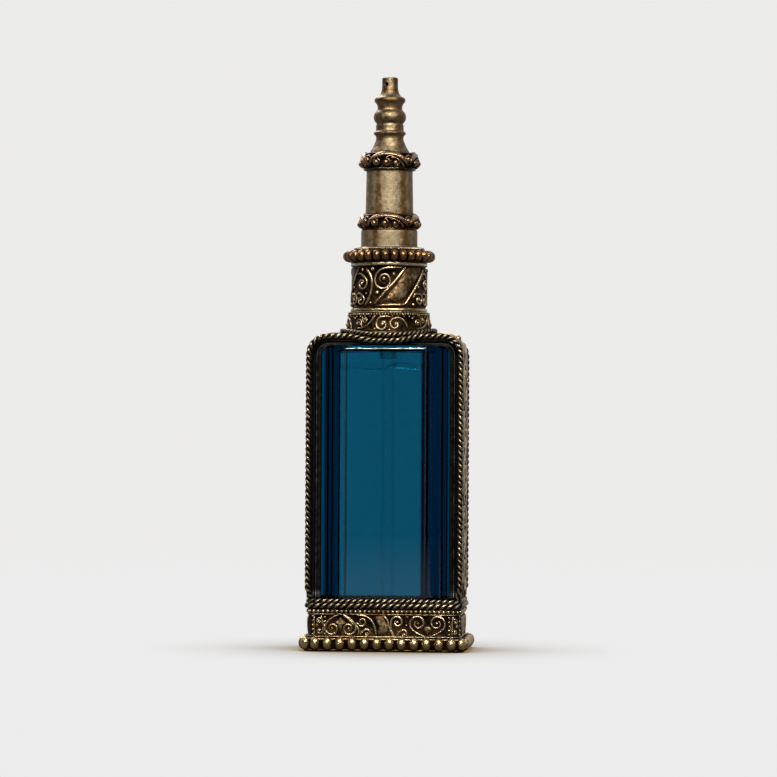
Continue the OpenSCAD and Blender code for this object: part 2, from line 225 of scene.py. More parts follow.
class Band:
    """A strip that a relief lies on: u runs along its outline, v across it, and lift stands out of it."""

    def __init__(self, outline, closed=True, up=(0, 0, 1), lean=0.0, step=0.4):
        path, self.length = resample(outline, step, closed)
        self.closed, self.up, self.lean = closed, np.asarray(up, float), lean
        normals = unit(np.cross(tangents(path, closed), self.up))
        self.steps = len(path) if closed else len(path) - 1
        self.stations = np.arange(len(path)) * self.length / self.steps
        self.path, self.normals = (np.vstack([x, x[:1]]) for x in (path, normals))

    def place(self, u, v, lift):
        """Points at (u, v), lifted off the strip."""
        u, v, lift = np.broadcast_arrays(*(np.asarray(x, float) for x in (u, v, lift)))
        share = u / self.length % 1 if self.closed else np.clip(u / self.length, 0, 1)
        i = np.minimum((share * self.steps).astype(int), self.steps - 1)
        f = (share * self.steps - i)[..., None]
        base = self.path[i] * (1 - f) + self.path[i + 1] * f
        out = unit(self.normals[i] * (1 - f) + self.normals[i + 1] * f)
        return base + self.up * v[..., None] + out * (lift + self.lean * v)[..., None]

    def frame(self, u, v):
        """Axes at (u, v): out of the strip, along it and across it."""
        a, b = self.place([u, u + 0.05], v, 0)
        out = self.place(u, v, 1) - self.place(u, v, 0)
        along = unit(b - a)
        return np.stack([out, along, np.cross(out, along)])


def rounded_outline(hw, hd, r):
    """A rounded rectangle from the middle of its front, anticlockwise from above."""
    out = [(0, -hd)]
    for sx, sy, start in ((1, -1, -90), (1, 1, 0), (-1, 1, 90), (-1, -1, 180)):
        for a in np.radians(start + np.arange(0, 91, 7.5)):
            out.append((sx * (hw - r) + r * math.cos(a), sy * (hd - r) + r * math.sin(a)))
    return np.array(out)


def flat_band(hw, hd, r, z):
    return Band(level(rounded_outline(hw, hd, r), z))


def round_plan(r):
    return circle(np.radians(np.arange(-90, 270, 3)), r)


def round_band(r, z, lean=0.0):
    return Band(level(round_plan(r), z), lean=lean, step=0.3)


def curl(u, v, radius, start, turns):
    """A spiral that starts at the angle start, in degrees, and winds in round (u, v)."""
    t = np.linspace(0, 1, max(int(abs(turns) * 9), 6))
    return circle(math.radians(start) + TAU * turns * t, radius * (1 - 0.74 * t)) + [u, v]


def scroll(*parts):
    """One smooth line through points and curls."""
    return curve(np.vstack([np.atleast_2d(p) for p in parts]), 4)


def moved(path, u, v, flip_u=1, flip_v=1):
    return np.asarray(path) * [flip_u, flip_v] + [u, v]


def mirrored(rows, tall):
    """Rows of a rim, turned over to the top of a band."""
    return [(tall - v, *rest) for v, *rest in reversed(rows)]


class Relief(Shape):
    """Ornament on a band. Its bed lies at the lift ground, and its (u, v) points count from u = at.

    section is the band's own closed section, in rows of (v, lift, height); width and rise are its usual line's.
    """

    def __init__(self, band, section, ground=0.0, width=0.6, rise=0.45):
        super().__init__()
        self.band, self.ground, self.at, self.width, self.rise = band, ground, 0.0, width, rise
        v, lift, heights = np.array(section, float).T
        self.skin(band.place(band.stations[:, None], v, lift), band.closed, heights)

    def line(self, path, width=None, rise=None, sides=9, step=0.16, sink=0.08):
        """A raised line with a rounded section along a path, thin at its ends."""
        width, rise = width or self.width, rise or self.rise
        path, _ = resample(moved(path, self.at, 0), step)
        t = tangents(path)
        s = np.linspace(0, 1, len(path))[:, None]
        full = np.minimum(1, 0.4 + 6 * np.minimum(s, 1 - s))
        a = np.linspace(0, math.pi, sides)
        across = np.cos(a) * full * width / 2
        u = path[:, :1] - t[:, 1:] * across
        v = path[:, 1:] + t[:, :1] * across
        rings = self.band.place(u, v, self.ground - sink + np.sin(a) * rise * full**0.6)
        self.skin(rings, heights=np.clip(0.1 + np.sin(a) ** 1.3 * full, 0, 1))

    def dot(self, u, v, radius, extra=0.0):
        """A bead set into the band."""
        u, lift = u + self.at, self.ground + extra + 0.35 * radius
        self.ball(self.band.place(u, v, lift), [radius] * 3, self.band.frame(u, v), rows=7, columns=12)

    def leaf(self, outline, rise=0.4, rows=5, sink=0.05):
        """A smooth raised leaf inside an outline."""
        outline = moved(outline, self.at, 0)
        edge = curve([*outline, outline[0]], 5)[:-1]
        middle = edge.mean(axis=0)
        rings, heights = [], []
        for a in 0.5 * math.pi * np.arange(rows + 1) / rows:
            inner = middle + (edge - middle) * max(math.cos(a), 0.02)
            lift = self.ground - sink + rise * math.sin(a) ** 0.7
            rings.append(self.band.place(inner[:, 0], inner[:, 1], lift))
            heights.append([0.12 + 0.55 * math.sin(a) ** 0.8])
        self.skin(rings, heights=heights)

    def heart(self, u, v, half, tall, up=1):
        """Two mirrored scrolls that meet at a point; up = -1 turns the point to the top."""
        eye = curl(0.5 * half, 0.63 * tall, 0.44 * half, -35, 1.35)
        path = scroll([(0.04 * half, 0), (0.5 * half, 0.17 * tall)], eye)
        for side in (-1, 1):
            self.line(moved(path, u, v, side, up), 0.6)
            self.dot(u + side * 0.49 * half, v + up * 0.63 * tall, 0.36)

    def swirl(self, u, v, size, side=1, up=1):
        path = scroll([(-0.9 * size, -0.9 * size)], curl(0, 0, 0.75 * size, 200, -1.2))
        self.line(moved(path, u, v, side, up), 0.45, 0.38)
        self.dot(u, v, 0.22 * size + 0.08)


# ---- materials ----


class Look:
    """A material or world under construction, with short ways to add nodes to it."""

    def __init__(self, owner, coords="Object"):
        owner.use_nodes = True
        self.owner, self.tree = owner, owner.node_tree
        self.coords = self.add("ShaderNodeTexCoord").outputs[coords]

    def add(self, kind, settings=None, **inputs):
        node = self.tree.nodes.new(kind)
        for key, value in (settings or {}).items():
            setattr(node, key, value)
        self.put(node, inputs)
        return node

    def put(self, node, inputs):
        """Links or sets a node's inputs, by name or by number."""
        for key, value in inputs.items():
            socket = node.inputs[key.replace("_", " ") if isinstance(key, str) else key]
            if isinstance(value, bpy.types.NodeSocket):
                self.tree.links.new(value, socket)
            else:
                socket.default_value = value

    def finish(self, **inputs):
        """Sets the shader's inputs and gives the finished material."""
        self.put(self.tree.nodes["Principled BSDF"], inputs)
        return self.owner

    def math(self, operation, a, b=0.0, clamp=False, low=0.0):
        node = self.add("ShaderNodeMath", {"operation": operation, "use_clamp": clamp})
        self.put(node, {0: a, 1: b, 2: low})
        return node.outputs[0]

    def axes(self):
        return self.add("ShaderNodeSeparateXYZ", Vector=self.coords).outputs

    def straight(self):
        """1 for what the camera sees, plainly or through glass, and 0 for what is reflected."""
        path = self.add("ShaderNodeLightPath").outputs
        return self.math("MAXIMUM", path["Is Camera Ray"], path["Is Transmission Ray"])

    def height(self):
        """The mesh's own height, from 0 in a recess to 1 on a crest."""
        return self.add("ShaderNodeAttribute", {"attribute_name": "height"}).outputs["Fac"]

    def open_sky(self, reach, samples=4):
        """How open the surface is within reach millimetres: 0 in a crevice and 1 in the open."""
        return self.add("ShaderNodeAmbientOcclusion", {"samples": samples}, Distance=reach * MM).outputs["AO"]

    def stretch(self, x, y, z):
        return self.add("ShaderNodeMapping", Vector=self.coords, Scale=(x, y, z)).outputs[0]

    def noise(self, size, detail=3.0, coords=None, rough=0.55, distortion=0.0):
        """Noise with features about size millimetres across."""
        node = self.add("ShaderNodeTexNoise", Vector=coords or self.coords, Scale=1 / (size * MM))
        self.put(node, {"Detail": detail, "Roughness": rough, "Distortion": distortion})
        return node.outputs["Fac"]

    def fit(self, value, low, high, to_low=0.0, to_high=1.0, kind="LINEAR"):
        node = self.add("ShaderNodeMapRange", {"interpolation_type": kind}, Value=value)
        self.put(node, {"From Min": low, "From Max": high, "To Min": to_low, "To Max": to_high})
        return node.outputs[0]

    def spread(self, noise, to_low, to_high):
        """The usual span of a noise, fitted to a new one."""
        return self.fit(noise, 0.3, 0.7, to_low, to_high)

    def ramp(self, value, *stops):
        node = self.add("ShaderNodeValToRGB", Fac=value)
        elements = node.color_ramp.elements
        while len(elements) < len(stops):
            elements.new(0.5)
        for element, (position, colour) in zip(elements, stops):
            element.position, element.color = position, srgb(colour)
        return node.outputs[0]

    def mix(self, factor, a, b):
        a, b = (srgb(c) if isinstance(c, tuple) else c for c in (a, b))
        node = self.add("ShaderNodeMix", {"data_type": "RGBA"})
        self.put(node, {0: factor, 6: a, 7: b})
        return node.outputs[2]

    def bump(self, value, depth, under=None):
        """Bump of the given depth in millimetres, over another bump if there is one."""
        node = self.add("ShaderNodeBump", Height=value, Strength=1.0, Distance=depth * MM)
        self.put(node, {"Normal": under} if under else {})
        return node.outputs[0]


def srgb(colour):
    """Linear, opaque colour from 0 to 255 display values."""
    c = np.array(colour) / 255
    return (*np.where(c <= 0.04045, c / 12.92, ((c + 0.055) / 1.055) ** 2.4).tolist(), 1)


def surface(name):
    return Look(bpy.data.materials.new(name))


def old_metal(name, crest, middle, recess, stain, stain_amount, rough=0.5):
    """Cast and worn metal: black tarnish in the recesses, deepened by painted shade where ambient occlusion closes in,
    bare metal on the crests, brown stains.
    """
    look = surface(name)
    grime = look.noise(0.8, 5, rough=0.7)
    fine = look.noise(0.14, 3, rough=0.6)
    # painted shade: ambient occlusion darkens the crevices beyond the tarnish that the height gives
    wear_and_painted_shading = look.math("MULTIPLY", look.height(), look.fit(look.open_sky(1.0), 0.3, 0.9, 0.2, 1))
    wear_and_painted_shading = look.math("ADD", wear_and_painted_shading, look.spread(grime, -0.3, 0.24))
    wear_and_painted_shading = look.math("ADD", wear_and_painted_shading, look.fit(look.noise(4.5, 2), 0.35, 0.65, -0.14, 0.12))
    wear_and_painted_shading = look.math("ADD", wear_and_painted_shading, look.spread(fine, -0.12, 0.12), clamp=True)
    bare = look.ramp(wear_and_painted_shading, (0.12, recess), (0.5, middle), (0.9, crest))
    patches = look.fit(look.noise(2.8, 4, distortion=0.6), 0.42, 0.7, 0, stain_amount)
    return look.finish(
        Base_Color=look.mix(patches, bare, stain),
        Metallic=look.fit(wear_and_painted_shading, 0.1, 0.4, 0.85, 1.0),
        Roughness=look.math("ADD", look.fit(wear_and_painted_shading, 0.2, 0.9, rough, 0.2), look.spread(grime, -0.06, 0.12)),
        Specular_IOR_Level=0.15,
        Normal=look.bump(fine, 0.035, look.bump(grime, 0.12)),
    )


def turned_metal(name, light, dark, stain, rough, stains_and_reflections=(), seams=()):
    """Lathe-turned, handled brass with fine rings, pits and scratches, and painted shade in its crevices.

    The long brown marks along Z are stains, and those that face the front also paint the dark reflections beside a lit
    middle: angle from the front, half width in degrees, strength.
    seams are the stained lines round it: height and half width in mm, strength.
    """
    look = surface(name)
    rings = look.noise(0.16, 2, look.stretch(0.02, 0.02, 1))
    tone = look.noise(1.4, 6, rough=0.68)
    pits = look.noise(0.3, 5, rough=0.75)
    scratches = look.noise(0.5, 3, look.stretch(1, 1, 0.15), distortion=1.5)
    x, y, z = look.axes()
    angle = look.math("ARCTAN2", x, look.math("MULTIPLY", y, -1.0))
    angle = look.math("ADD", angle, look.spread(look.noise(1.6, 4, rough=0.65), -0.11, 0.11))
    cover = 0.0
    # each mark is a stain, and near the front also a painted dark reflection
    for middle, half, strength in stains_and_reflections:
        away = look.math("SUBTRACT", angle, math.radians(middle))
        away = look.math("ABSOLUTE", look.math("WRAP", away, math.pi, low=-math.pi))
        shade = look.fit(away, math.radians(half * 1.5), math.radians(half * 0.4), 0, strength)
        cover = look.math("MAXIMUM", cover, shade)
    height = look.math("ADD", look.math("MULTIPLY", z, 1 / MM), look.spread(tone, -0.12, 0.12))
    for middle, half, strength in seams:
        away = look.math("ABSOLUTE", look.math("SUBTRACT", height, middle))
        cover = look.math("MAXIMUM", cover, look.fit(away, half * 1.5, half * 0.5, 0, strength))
    colour = look.ramp(tone, (0.34, dark), (0.64, light))
    colour = look.mix(look.math("MULTIPLY", cover, look.fit(tone, 0.4, 0.62, 1.0, 0.7)), colour, stain)
    colour = look.mix(look.fit(pits, 0.57, 0.7, 0, 0.8), colour, (40, 26, 12))
    colour = look.mix(look.fit(scratches, 0.62, 0.7, 0, 0.35), colour, (60, 44, 26))
    # painted shade: crevices turn near black where ambient occlusion closes in
    colour = look.mix(look.fit(look.open_sky(0.9), 0.45, 0.85, 0.85, 0), colour, (14, 9, 5))
    return look.finish(
        Base_Color=colour,
        Metallic=look.fit(pits, 0.58, 0.72, 1.0, 0.6),
        Roughness=look.math("ADD", look.fit(pits, 0.4, 0.7, rough, rough + 0.14), look.spread(tone, -0.05, 0.1)),
        Normal=look.bump(rings, 0.02, look.bump(pits, 0.07, look.bump(tone, 0.14))),
    )


def dark_sheet():
    """Blackened sheet metal with worn patches and a pale sheen by the mesh's height; on the bezels these heights paint
    shade and highlights.
    """
    look = surface("dark_sheet")
    grime = look.noise(1.6, 5, rough=0.6)
    wear_and_painted_shading = look.math("ADD", look.height(), look.spread(grime, -0.15, 0.15), clamp=True)
    return look.finish(
        Base_Color=look.ramp(wear_and_painted_shading, (0.12, (3, 3, 3)), (0.5, (40, 36, 32)), (0.95, (140, 132, 120))),
        Metallic=look.fit(wear_and_painted_shading, 0, 0.6, 0.6, 1.0),
        Specular_IOR_Level=0.2,
        Roughness=look.spread(grime, 0.34, 0.5),
        Normal=look.bump(grime, 0.03),
    )


def blue_glass():
    """Pressed blue glass: tinted all through, slightly wavy, with faint smudges."""
    look = surface("blue_glass")
    waves = look.noise(9, 1, look.stretch(1, 1, 0.35))
    smudge = look.noise(5, 4)
    volume = look.add("ShaderNodeVolumeAbsorption", Color=(0.3, 0.715, 0.79, 1), Density=850.0)
    look.put(look.tree.nodes["Material Output"], {"Volume": volume.outputs[0]})
    return look.finish(
        Base_Color=(1, 1, 1, 1),
        Roughness=look.fit(smudge, 0.5, 0.75, 0.0, 0.04),
        IOR=1.5,
        Transmission_Weight=1.0,
        Normal=look.bump(waves, 0.025),
    )


def plastic(name, tint, roughness, clear=0.0, grain_size=0.4):
    """Moulded plastic or rubber with a faint flow pattern and a fine grain."""
    look = surface(name)
    flow = look.noise(3.5, 3, look.stretch(1, 1, 0.3))
    fine = look.noise(grain_size, 3)
    shade = tuple(int(c * 0.9) for c in tint)
    return look.finish(
        Base_Color=look.mix(look.fit(flow, 0.35, 0.65), shade, tint),
        Roughness=look.spread(fine, roughness - 0.06, roughness + 0.08),
        Normal=look.bump(fine, 0.01),
        Transmission_Weight=clear,
    )


def clear_plastic():
    """Clear thin tube: nearly unseen in the bottle, with faint draw lines."""
    look = surface("clear_tube")
    lines = look.noise(0.5, 2, look.stretch(1, 1, 0.02))
    return look.finish(
        Base_Color=(1, 1, 1, 1),
        Roughness=look.spread(lines, 0.02, 0.1),
        IOR=1.2,
        Transmission_Weight=1.0,
        Normal=look.bump(lines, 0.01),
    )


def spring_steel():
    look = surface("spring_steel")
    drawn = look.noise(0.2, 3, look.stretch(1, 1, 3))
    return look.finish(
        Base_Color=look.ramp(drawn, (0.3, (120, 122, 126)), (0.7, (200, 202, 206))),
        Metallic=1.0,
        Roughness=look.spread(drawn, 0.2, 0.34),
        Normal=look.bump(drawn, 0.008),
    )


# Colours of the crests, the middle, the recesses and the stains, then how far the stains cover.
SILVER = old_metal("old_silver", (190, 168, 130), (86, 68, 42), (7, 4, 2), (72, 46, 20), 0.5)
ROPE = old_metal("old_wire", (146, 134, 110), (98, 86, 66), (5, 3, 2), (60, 44, 26), 0.4, rough=0.62)
BRONZE = old_metal("olive_bronze", (180, 158, 116), (98, 80, 44), (10, 7, 3), (82, 50, 16), 0.6)
GADROON = old_metal("brown_bronze", (124, 92, 58), (42, 28, 15), (4, 3, 2), (38, 23, 9), 0.5, rough=0.36)
COPPER = old_metal("old_copper", (146, 118, 88), (60, 40, 22), (3, 2, 1), (56, 32, 12), 0.5, rough=0.42)
# Brown marks along Z on the tube and spire: stains, and near the front also painted dark reflections beside a lit
# middle.
TUBE_STAINS_AND_REFLECTIONS = [(-24, 6, 1.0), (41, 9, 1.0), (-52, 9, 0.5), (70, 12, 0.6)]
TUBE_STAINS_AND_REFLECTIONS += [(112, 8, 1.0), (165, 14, 0.8), (-120, 9, 1.0)]
TUBE_SEAMS = [(118.0, 0.22, 0.7), (118.9, 0.12, 0.5), (117.4, 0.3, 0.6)]
SPIRE_STAINS_AND_REFLECTIONS = [(78, 42, 0.9), (-74, 40, 0.9), (180, 50, 0.8)]
SPIRE_SEAMS = [(137.0, 0.35, 1.0), (134.4, 0.55, 0.9), (132.65, 0.3, 1.0), (131.4, 0.15, 0.6)]
BRASS = turned_metal("turned_brass", (152, 137, 110), (108, 94, 70), (96, 62, 24), 0.5, TUBE_STAINS_AND_REFLECTIONS, TUBE_SEAMS)
SPIRE = turned_metal("old_brass", (138, 123, 94), (80, 66, 44), (94, 60, 22), 0.34, SPIRE_STAINS_AND_REFLECTIONS, SPIRE_SEAMS)
MILLED = turned_metal("milled_brass", (180, 164, 134), (112, 94, 66), (90, 56, 22), 0.3)
DARK = dark_sheet()
GLASS = blue_glass()
WHITE = plastic("white_plastic", (236, 234, 226), 0.32)
NATURAL = plastic("natural_plastic", (248, 248, 245), 0.05, 1.0)
RUBBER = plastic("gasket_rubber", (52, 50, 48), 0.6, grain_size=0.25)
CLEAR = clear_plastic()
STEEL = spring_steel()

# ---- base ----


def slab(name, node, bend, rows, material, slot, middle=0.2):
    """Plate with a moulded edge: rows of (v, lift, height) round it; a lift of None is near its middle."""
    lo, hi = box(node)
    band = flat_band(hi[0], hi[1], bend, lo[2])
    rings = [band.place(band.stations, v, middle - hi[1] if lift is None else lift) for v, lift, _ in rows]
    shape = Shape()
    shape.skin(rings, heights=[[height] for *_, height in rows])
    shape.make(name, material, slot, node)


def base_plate():
    lo, hi = box("base_plate")
    top = hi[2] - lo[2]
    rows = [(0, None, 0.1), (0, -1.0, 0.1), (0.14, -0.8, 0.3), (0.35, -0.7, 0.45)]
    rows += [(top - 0.14, -0.7, 0.3), (top, -0.9, 0.1), (top, None, 0.0)]
    slab("base_plate_look", "base_plate", 3.3, rows, BRONZE, "bronze_beads")


def base_beads(bead_r=1.2, bend=2.7, count_long=12, gap_long=3.2, count_short=7, gap_short=3.1):
    """Oval beads on a plain moulding round the foot."""
    lo, hi = box("base_bead_ring")
    hw, hd, top = hi[0] - bead_r, hi[1] - bead_r, hi[2] - lo[2]
    moulding = [
        (0, -1.2, 0.1), (0, -0.7, 0.2), (0.2, -0.5, 0.35), (0.45, -0.4, 0.1), (0.8, -0.3, 0.0),
        (top - 0.9, -0.2, 0.0), (top - 0.6, 0.0, 0.4), (top - 0.25, 0.18, 0.7), (top, 0.0, 0.7), (top, -1.2, 0.1),
    ]
    Relief(flat_band(hw, hd, bend, lo[2]), moulding).make("base_moulding", SILVER, "antique_metal")
    radii = np.array([1.18, 1.24, 1.6])  # out of the side, along it, upright
    middle = lo[2] + 1.32
    reach = bend * (1 - math.cos(math.radians(45)))
    spots = []  # x, y and the way that the bead faces, in degrees
    for s in (-1, 1):
        spots += [(x, s * hd, 90 * s) for x in np.linspace(-1, 1, count_long) * (hw - gap_long)]
        spots += [(s * hw, y, 90 - 90 * s) for y in np.linspace(-1, 1, count_short) * (hd - gap_short)]
        spots += [(s * (hw - reach), t * (hd - reach), math.degrees(math.atan2(t, s))) for t in (-1, 1)]
    shape = Shape()
    for x, y, degrees in spots:
        size = radii * random.uniform(0.96, 1.02)
        centre = (x, y, middle + random.uniform(-0.06, 0.06))
        shape.ball(centre, size, facing(math.radians(degrees)), 0.5, rows=12, columns=20)
    shape.make("base_beads", BRONZE, "bronze_beads", "base_bead_ring")


def band_pattern(relief, tall):
    """One half of the base band's ornament, from its middle outwards."""
    line, dot, leaf, heart, swirl = relief.line, relief.dot, relief.leaf, relief.heart, relief.swirl
    heart(-11.4, tall - 0.1, 4.1, tall - 0.2, -1)
    leaf([(-11.4, 4.9), (-12.9, 3.6), (-12.2, 2.9), (-11.4, 0.6), (-10.6, 2.9), (-9.9, 3.6)], 0.42)
    line([(-10.9, 5.5), (-9.6, 4.6), (-8.6, 3.6), (-8.2, 2.6)], 0.9)
    line(scroll([(-7.4, 0.1), (-6.9, 1.5)], [(-7.6, 3.2)], curl(-6.2, 3.75, 1.15, 200, 1.3)))
    line(scroll([(-7.5, 5.3), (-5.6, 5.2), (-3.9, 4.1), (-3.0, 2.3), (-2.7, 0.2)]))
    line(scroll([(-6.6, 0.1), (-6.4, 1.2)], curl(-5.0, 1.05, 1.05, 165, -1.05)))
    dot(-4.8, 0.95, 0.34)
    leaf([(-2.9, 5.3), (-3.0, 4.2), (-2.2, 2.6), (-2.3, 0.4), (-0.4, 0.4), (0.3, 2.4), (-0.6, 4.2), (-1.0, 5.3)], 0.3)
    line([(-0.9, 5.4), (0.1, 4.0), (0.4, 2.6), (1.0, 1.2), (1.8, 0.1)])
    line(scroll([(2.0, 0.1), (0.9, 1.8)], curl(2.4, 3.7, 1.65, 200, -1.25)))
    line(scroll([(2.2, 0.1), (2.7, 1.2)], curl(4.0, 0.95, 1.05, 155, -0.95)))
    for u, v, size in ((4.15, 0.75, 0.36), (2.4, 3.75, 0.34), (4.6, 3.0, 0.3), (4.9, 5.0, 0.28)):
        dot(u, v, size)
    heart(9.7, 0.1, 4.6, tall - 0.3)
    leaf([(9.7, 0.4), (8.6, 1.7), (9.0, 2.6), (9.8, 2.9), (10.6, 2.5), (10.9, 1.7)], 0.45)
    for side in (-1, 1):
        swirl(side * 16.6, 3.9, 1.1, side)
        swirl(side * 16.5, 1.5, 1.0, side, -1)
        heart(side * 24.3, 0.1, 3.4, tall - 0.3)
        leaf([(side * 24.3 + x, y) for x, y in ((0, 0.5), (-0.9, 1.8), (0, 3.0), (0.9, 1.8))])
        swirl(side * 28.3, 4.0, 1.0, -side)
        swirl(side * 28.3, 1.6, 1.0, -side, -1)
    for side in (-1, 1):
        for k in range(5):
            dot(side * 15.1 - 0.1, 0.8 + k, 0.3)
            dot(side * 18.2, 0.7 + 1.1 * k, 0.3)
        line([(side * 15.8, 0.3), (side * 15.3, 2.6), (side * 16.2, 5.2)], 0.5)
        leaf([(side * 17.2 + x, y + 2.7) for x, y in ((0, -0.7), (-0.5, 0), (0, 0.7), (0.5, 0))])


def base_band(rim=0.34, bed=-0.4):
    """Embossed sheet round the base, with scrolls, leaves and hearts."""
    lo, hi = box("scroll_band")
    tall = hi[2] - lo[2]
    band = flat_band(hi[0], hi[1], 2.45, lo[2])
    section = [
        (-0.2, -0.8, 0), (-0.2, bed + 0.1, 0.3), (0, bed + 0.32, 0.8), (rim / 2, bed + 0.4, 0.9),
        (rim, bed + 0.1, 0.3), (rim + 0.1, bed, 0.05), (tall / 2, bed, 0.1), (tall - rim - 0.1, bed, 0.05),
        (tall - rim, bed + 0.1, 0.3), (tall - rim / 2, bed + 0.35, 0.85), (tall, bed + 0.2, 0.5), (tall, -0.8, 0),
    ]
    relief = Relief(band, section, bed, 0.62)
    for turn in (0, band.length / 2):
        relief.at = turn + 1.0
        band_pattern(relief, tall)
    relief.at = 0.0
    corner = hi[0] - 2.0
    for u in (corner, band.length / 2 - corner, band.length / 2 + corner, band.length - corner):
        relief.line([(u, 0.4), (u, tall - 0.5)], 0.5, 0.36)
    relief.make("base_scrolls", SILVER, "antique_metal", "scroll_band")


def base_grains(pitch=1.12):
    """Row of small pearls over the band."""
    lo, hi = box("grain_wire")
    r = (hi[2] - lo[2]) / 2
    band = flat_band(hi[0] - r, hi[1] - r, 2.15, lo[2])
    bed = [(0.05, -0.3, 0), (0.05, 0.1, 0.2), (r, 0.2, 0.3), (2 * r, 0.1, 0.2), (2 * r, -0.3, 0)]
    relief = Relief(band, bed)
    count = int(band.length / pitch)
    for k in range(count):
        u = band.length * k / count
        size = r * random.uniform(0.84, 1.04)
        radii = [size, size * 0.92, size]
        relief.ball(band.place(u, r, 0.06), radii, band.frame(u, r), 0.75, rows=8, columns=12)
    relief.make("base_grains", SILVER, "antique_metal", "grain_wire")


def base_cup(rim=1.2, sheet=0.45):
    """Shallow cup the bottle stands in; its rim stays hidden behind the twisted wires."""
    lo, hi = box("base_cup")
    seat = box("glass_bottle")[0][2] - 0.02 - lo[2]
    top = hi[2] - lo[2] - rim
    rows = [(0, None, 0.1), (0, 0.0, 0.2), (top - 0.2, 0.0, 0.3), (top, -0.2, 0.5)]
    rows += [(top - 0.1, -sheet, 0.2), (seat, -sheet, 0.1), (seat, None, 0.0)]
    slab("base_cup_sheet", "base_cup", 2.3, rows, DARK, "dark_metal")


def base_ropes():
    """Two twisted wires that bind the foot of the casing."""
    for node, bend, pitch, tuck in (("base_rope_lower", 2.33, 3.2, 0.0), ("base_rope_upper", 2.28, 2.9, 0.22)):
        lo, hi = box(node)
        r = (hi[2] - lo[2]) / 2
        outline = rounded_outline(hi[0] - r - tuck, hi[1] - r - tuck, bend)
        twisted_wire(node, level(outline, lo[2] + r - 1.6 * tuck), r, pitch, closed=True)


# ---- casing ----

VAULT_R = 55.0  # of the casing's top, which curves down to the front and back
FOOT_REACH = 0.5  # how far the casing's strips and wires go down behind the base's upper wire


def arch_path(hw, top, r, y, bottom, rise=28, bend=10, flat=24):
    """Inverted U in the plane y, from the left foot to the right foot."""
    left = [(-hw, y, z) for z in np.linspace(bottom, top - r, rise)]
    over = []
    for side, start in ((-1, 180), (1, 90)):
        for a in np.radians(np.linspace(start, start - 90, bend)):
            over.append((side * (hw - r) + r * math.cos(a), y, top - r + r * math.sin(a)))
    middle = [(x, y, top) for x in np.linspace(-(hw - r), hw - r, flat)[1:-1]]
    right = [(-x, q, z) for x, q, z in reversed(left)]
    return np.array(left[:-1] + over[:bend] + middle + over[bend:] + right[1:])


def vine(relief, half, side):
    """One wave of the strap's vine: a large curl with leaves and grains; side turns it over."""

    def line(path, width, rise=0.5):
        relief.line(moved(path, 0, 0, 1, side), width, rise)

    line(scroll([(-5.6, 1.6), (-4.6, -1.0)], curl(0, -1.2, 4.7, 190, 2.1)), 0.85, 0.58)
    line(scroll([(4.8, -4.4), (5.5, -5.6)], curl(3.9, -6.4, 1.75, 30, -1.4)), 0.6)
    line(scroll([(-4.4, -5.0), (-5.0, -5.8)], curl(-3.4, -6.5, 1.6, 150, 1.4)), 0.6)
    line(curve([(-2.6, 4.1), (-1.4, 3.2), (0.4, 3.0), (2.4, 3.6)]), 0.5)
    relief.dot(0, -side * 1.2, 0.85)
    leaf = [(0, 0), (1.0, 0.7), (1.5, 2.0), (1.0, 3.2), (0.1, 2.4), (-0.3, 1.1)]
    for turn in (-1, 1):
        relief.leaf(moved(leaf, turn * 1.9, side * (half - 3.6), turn, side), 0.45)
        relief.leaf(moved(leaf, turn * 5.4, -side * 4.4, turn, -side), 0.42)
        relief.dot(turn * 2.7, -side * 1.6, 0.4)
        relief.dot(turn * 1.1, -side * (half - 1.9), 0.42)
    relief.dot(0, side * (half - 1.9), 0.55)
    relief.dot(0, -side * (half - 2.9), 0.4)


def side_strap(corner_r=5.0, hole_r=7.5, hole_depth=6, bed=-0.3, waves=7):
    """Embossed strip over both sides and the shoulders, with a running vine."""
    lo, hi = box("side_strap")
    half = hi[1]
    outline = arch_path(hi[0], hi[2], corner_r, 0, lo[2] - FOOT_REACH)
    band = Band(outline, closed=False, up=(0, 1, 0), step=0.5)
    edge = [(half, -0.8, 0), (half, -0.05, 0.6), (half - 0.5, 0.0, 0.85), (half - 0.9, bed, 0.1), (half / 2, bed, 0.05)]
    section = [(-v, *rest) for v, *rest in edge] + [(0, bed, 0.1)] + edge[::-1] + [(0, -0.8, 0)]
    relief = Relief(band, section, bed)
    period = band.length / waves
    u = np.linspace(0.5, band.length - 0.5, 400)
    relief.line(np.column_stack([u, (half - 3.4) * np.sin(TAU * u / period)]), 1.0, 0.6)
    for k in range(2 * waves):
        relief.at = (k + 0.5) * period / 2
        vine(relief, half, 1 if k % 2 == 0 else -1)
    points = np.concatenate(relief.points)
    drop = VAULT_R - np.sqrt(VAULT_R**2 - points[:, 1] ** 2)
    share = np.clip((points[:, 2] - (hi[2] - corner_r)) / corner_r, 0, 1)
    points[:, 2] -= drop * share * share * (3 - 2 * share)
    relief.points = [points]
    in_hole = (np.hypot(points[:, 0], points[:, 1]) < hole_r) & (points[:, 2] > hi[2] - hole_depth)
    relief.faces = [f for f in relief.faces if not any(in_hole[i] for i in f)]
    relief.make("side_strap_vine", SILVER, "antique_metal", "side_strap")


